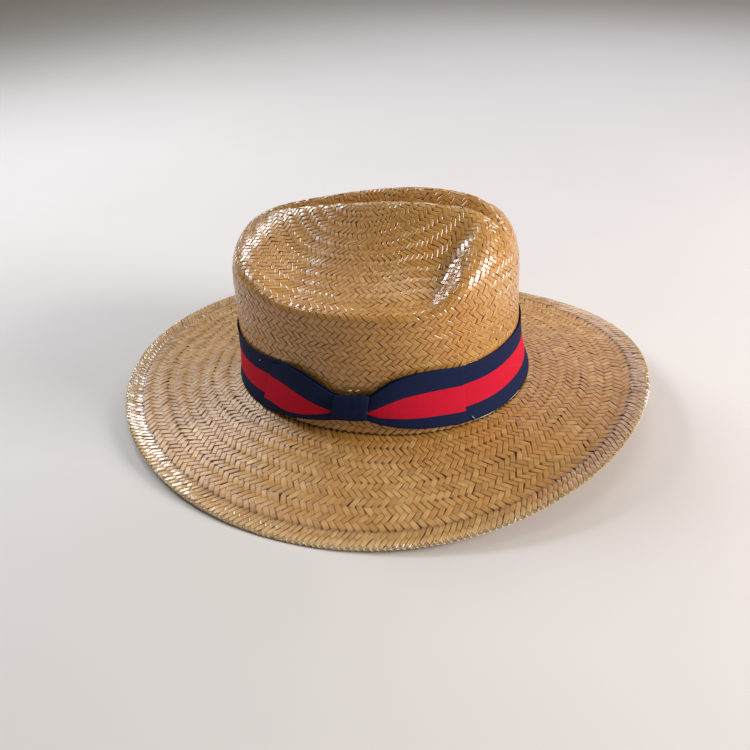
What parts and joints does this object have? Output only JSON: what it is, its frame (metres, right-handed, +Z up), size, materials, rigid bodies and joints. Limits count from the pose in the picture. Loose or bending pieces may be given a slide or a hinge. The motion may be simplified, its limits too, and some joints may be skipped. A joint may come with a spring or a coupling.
{
  "type": "straw fedora hat",
  "caption": "Woven straw hat with a creased crown, a scooped dent on each side, a wide dipping brim, a striped ribbon band and a flat bow.",
  "frame": {"origin": "on the surface that the hat lies on, under the middle of its brim", "axes": "+Z up, -Y towards the wearer's front, +X towards the wearer's left, where the bow is"},
  "size_m": [0.321, 0.36, 0.1439],
  "materials": {
    "straw": "lacquered plaited palm straw",
    "striped_ribbon": "matt grosgrain ribbon, navy, red and navy",
    "navy_ribbon": "matt grosgrain ribbon"
  },
  "bodies": {
    "root": {"straw_body": "straw", "ribbon_band": "striped_ribbon", "bow_ribbon": "striped_ribbon", "bow_knot": "navy_ribbon"}
  },
  "joints": []
}
